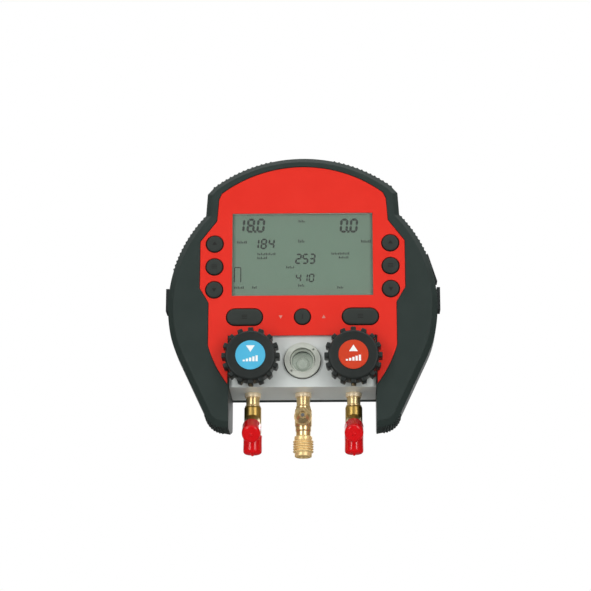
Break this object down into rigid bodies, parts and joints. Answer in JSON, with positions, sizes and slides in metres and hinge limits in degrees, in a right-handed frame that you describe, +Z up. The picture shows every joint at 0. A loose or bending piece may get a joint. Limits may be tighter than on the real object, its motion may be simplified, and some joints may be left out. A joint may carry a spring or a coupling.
{
  "type": "refrigerant manifold gauge",
  "caption": "Handheld refrigerant service manifold: rounded shell with display and buttons, metal valve block with toothed knobs and sight glass, capped hose ports and a swivel nut.",
  "frame": {"origin": "on the flat back, on the centre line, at the height of the two valve axes", "axes": "+Z up, +Y out of the back, so the display faces -Y and +X is to the viewer's right"},
  "size_m": [0.219, 0.075, 0.2412],
  "materials": {
    "housing": "fine moulded texture",
    "panel": "satin",
    "window": "clear",
    "display": "smooth",
    "board": "solder mask",
    "mat": "matt",
    "button": "matt",
    "block": "fine milled",
    "steel": "turned",
    "sight_lens": "polished",
    "seal": "smooth",
    "knob": "moulded",
    "insert_blue": "printed",
    "insert_red": "printed",
    "brass": "turned",
    "cap": "glossy dipped vinyl",
    "battery": "sleeved",
    "contact": "plated",
    "plug": "matt"
  },
  "bodies": {
    "housing": {"front_housing": "housing", "rear_housing": "housing", "case_screws": "steel", "front_panel": "panel", "display_window": "window", "display_module": "display", "main_circuit_board": "board", "keypad_mat": "mat", "manifold_block": "block", "block_screws": "steel", "sight_glass_seal": "seal", "sight_glass_lens": "sight_lens", "sight_glass_ring": "steel", "spindle_seals": "seal", "tee_lock_rings": "brass", "low_tee": "brass", "high_tee": "brass", "centre_tee": "brass", "valve_core": "brass", "swivel_tail": "brass", "swivel_seal": "seal", "hook_pin": "steel", "battery_tray": "housing", "batteries": "battery", "battery_contacts": "contact", "pressure_sensors": "steel", "side_sockets": "contact", "low_bonnet": "brass", "high_bonnet": "brass"},
    "low_knob": {"low_knob": "knob", "low_knob_insert": "insert_blue", "low_knob_screw": "steel", "low_spindle": "steel"},
    "low_piston": {"low_piston": "brass"},
    "low_front_cap": {"low_front_cap": "cap"},
    "low_bottom_cap": {"low_bottom_cap": "cap"},
    "high_knob": {"high_knob": "knob", "high_knob_insert": "insert_red", "high_knob_screw": "steel", "high_spindle": "steel"},
    "high_piston": {"high_piston": "brass"},
    "high_front_cap": {"high_front_cap": "cap"},
    "high_bottom_cap": {"high_bottom_cap": "cap"},
    "left_top_button": {"left_top_button": "button"},
    "left_middle_button": {"left_middle_button": "button"},
    "left_bottom_button": {"left_bottom_button": "button"},
    "right_top_button": {"right_top_button": "button"},
    "right_middle_button": {"right_middle_button": "button"},
    "right_bottom_button": {"right_bottom_button": "button"},
    "power_button": {"power_button": "button"},
    "left_soft_button": {"left_soft_button": "button"},
    "right_soft_button": {"right_soft_button": "button"},
    "swivel_nut": {"swivel_nut": "brass"},
    "valve_core_pin": {"valve_core_pin": "steel"},
    "hanging_hook": {"hanging_hook": "knob"},
    "battery_door": {"battery_door": "housing"},
    "left_socket_plug": {"left_socket_plug": "plug"},
    "right_socket_plug": {"right_socket_plug": "plug"},
    "data_socket_cover": {"data_socket_cover": "plug"}
  },
  "joints": [
    {"name": "low_valve_turn", "type": "hinge", "parent": "housing", "child": "low_knob", "pos_m": [-0.04, -0.068, 0], "axis": [0, -1, 0], "range_deg": [0, 720]},
    {"name": "low_piston_travel", "type": "slide", "parent": "housing", "child": "low_piston", "axis": [0, -1, 0], "range_m": [0, 0.0026]},
    {"name": "low_front_cap_pull", "type": "slide", "parent": "housing", "child": "low_front_cap", "axis": [0, -0.8192, -0.5736], "range_m": [0, 0.02]},
    {"name": "low_bottom_cap_pull", "type": "slide", "parent": "housing", "child": "low_bottom_cap", "axis": [0, 0, -1], "range_m": [0, 0.02]},
    {"name": "high_valve_turn", "type": "hinge", "parent": "housing", "child": "high_knob", "pos_m": [0.04, -0.068, 0], "axis": [0, -1, 0], "range_deg": [0, 720]},
    {"name": "high_piston_travel", "type": "slide", "parent": "housing", "child": "high_piston", "axis": [0, -1, 0], "range_m": [0, 0.0026]},
    {"name": "high_front_cap_pull", "type": "slide", "parent": "housing", "child": "high_front_cap", "axis": [0, -0.8192, -0.5736], "range_m": [0, 0.02]},
    {"name": "high_bottom_cap_pull", "type": "slide", "parent": "housing", "child": "high_bottom_cap", "axis": [0, 0, -1], "range_m": [0, 0.02]},
    {"name": "left_top_button_press", "type": "slide", "parent": "housing", "child": "left_top_button", "axis": [0, 1, 0], "range_m": [0, 0.001], "stiffness_N_per_m": 400, "springref_m": -0.0005},
    {"name": "left_middle_button_press", "type": "slide", "parent": "housing", "child": "left_middle_button", "axis": [0, 1, 0], "range_m": [0, 0.001], "stiffness_N_per_m": 400, "springref_m": -0.0005},
    {"name": "left_bottom_button_press", "type": "slide", "parent": "housing", "child": "left_bottom_button", "axis": [0, 1, 0], "range_m": [0, 0.001], "stiffness_N_per_m": 400, "springref_m": -0.0005},
    {"name": "right_top_button_press", "type": "slide", "parent": "housing", "child": "right_top_button", "axis": [0, 1, 0], "range_m": [0, 0.001], "stiffness_N_per_m": 400, "springref_m": -0.0005},
    {"name": "right_middle_button_press", "type": "slide", "parent": "housing", "child": "right_middle_button", "axis": [0, 1, 0], "range_m": [0, 0.001], "stiffness_N_per_m": 400, "springref_m": -0.0005},
    {"name": "right_bottom_button_press", "type": "slide", "parent": "housing", "child": "right_bottom_button", "axis": [0, 1, 0], "range_m": [0, 0.001], "stiffness_N_per_m": 400, "springref_m": -0.0005},
    {"name": "power_button_press", "type": "slide", "parent": "housing", "child": "power_button", "axis": [0, 1, 0], "range_m": [0, 0.001], "stiffness_N_per_m": 400, "springref_m": -0.0005},
    {"name": "left_soft_button_press", "type": "slide", "parent": "housing", "child": "left_soft_button", "axis": [0, 1, 0], "range_m": [0, 0.001], "stiffness_N_per_m": 400, "springref_m": -0.0005},
    {"name": "right_soft_button_press", "type": "slide", "parent": "housing", "child": "right_soft_button", "axis": [0, 1, 0], "range_m": [0, 0.001], "stiffness_N_per_m": 400, "springref_m": -0.0005},
    {"name": "swivel_nut_turn", "type": "hinge", "parent": "housing", "child": "swivel_nut", "pos_m": [0, -0.031, -0.064], "axis": [0, 0, 1], "continuous": true},
    {"name": "valve_core_press", "type": "slide", "parent": "housing", "child": "valve_core_pin", "axis": [0, 1, 0], "range_m": [0, 0.0012], "stiffness_N_per_m": 300, "springref_m": -0.0005},
    {"name": "hook_swing", "type": "hinge", "parent": "housing", "child": "hanging_hook", "pos_m": [0, -0.0046, 0.15], "axis": [1, 0, 0], "range_deg": [0, 180]},
    {"name": "battery_door_swing", "type": "hinge", "parent": "housing", "child": "battery_door", "pos_m": [0, -0.0015, 0.0672], "axis": [-1, 0, 0], "range_deg": [0, 100]},
    {"name": "left_plug_pull", "type": "slide", "parent": "housing", "child": "left_socket_plug", "axis": [-1, 0, 0], "range_m": [0, 0.012]},
    {"name": "right_plug_pull", "type": "slide", "parent": "housing", "child": "right_socket_plug", "axis": [1, 0, 0], "range_m": [0, 0.012]},
    {"name": "data_cover_swing", "type": "hinge", "parent": "housing", "child": "data_socket_cover", "pos_m": [0.09842, -0.038, 0.09004], "axis": [0, -1, 0], "range_deg": [0, 90]}
  ],
  "couplings": [
    {"joint": "low_piston_travel", "follows": "low_valve_turn", "m_per_rad": 0.00019894},
    {"joint": "high_piston_travel", "follows": "high_valve_turn", "m_per_rad": 0.00019894}
  ]
}
